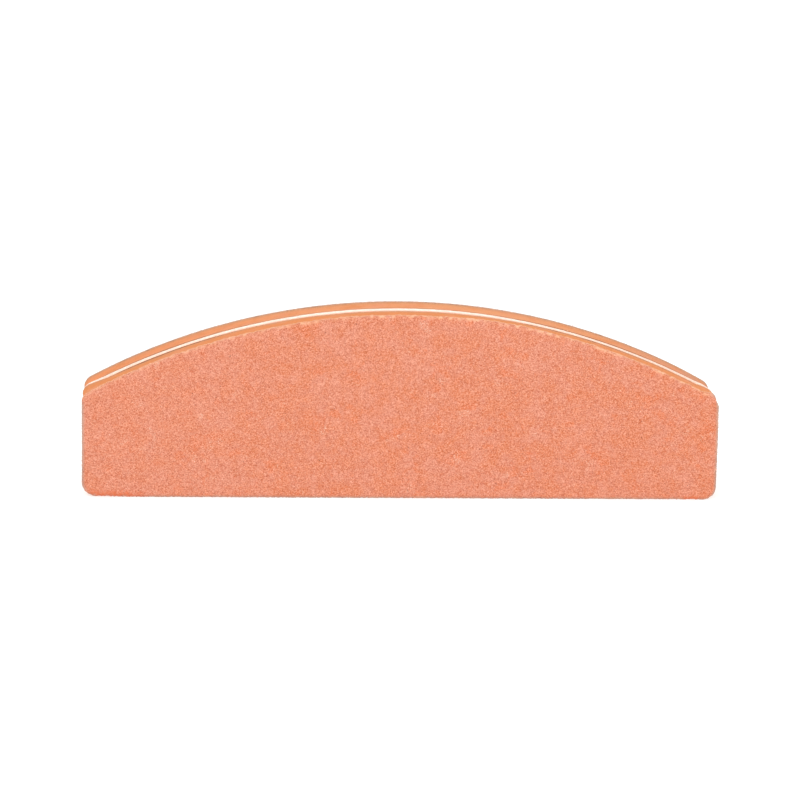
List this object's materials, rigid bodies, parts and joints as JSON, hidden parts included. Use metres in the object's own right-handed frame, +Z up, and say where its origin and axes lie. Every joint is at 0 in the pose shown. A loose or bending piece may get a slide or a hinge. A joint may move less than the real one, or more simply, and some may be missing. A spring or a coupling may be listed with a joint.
{
  "type": "nail buffer block",
  "caption": "Hand-held half-moon sponge nail buffer: stiff white core between foam pads, faced on each side with an abrasive sheet; straight base edge, arched top.",
  "frame": {"origin": "middle of the straight base edge, halfway through the thickness, on the plane it stands on", "axes": "+X along the straight edge, +Y through the thickness from the front abrasive face to the rear one, +Z up to the crown of the arc"},
  "size_m": [0.09, 0.012, 0.0262],
  "materials": {
    "grit_salmon": "matte",
    "backing_paper": "matte",
    "adhesive_film": "satin",
    "foam_orange": "matte",
    "core_white": "satin"
  },
  "bodies": {
    "core": {"core_plate": "core_white", "front_core_adhesive": "adhesive_film", "front_foam_pad": "foam_orange", "rear_core_adhesive": "adhesive_film", "rear_foam_pad": "foam_orange"},
    "front_sheet": {"front_sheet_adhesive": "adhesive_film", "front_backing_paper": "backing_paper", "front_grit_coat": "grit_salmon"},
    "rear_sheet": {"rear_sheet_adhesive": "adhesive_film", "rear_backing_paper": "backing_paper", "rear_grit_coat": "grit_salmon"}
  },
  "joints": [
    {"name": "front_press", "type": "slide", "parent": "core", "child": "front_sheet", "axis": [0, 1, 0], "range_m": [0, 0.0015], "stiffness_N_per_m": 1000, "deforming": ["front_foam_pad"]},
    {"name": "rear_press", "type": "slide", "parent": "core", "child": "rear_sheet", "axis": [0, -1, 0], "range_m": [0, 0.0015], "stiffness_N_per_m": 1000, "deforming": ["rear_foam_pad"]}
  ]
}
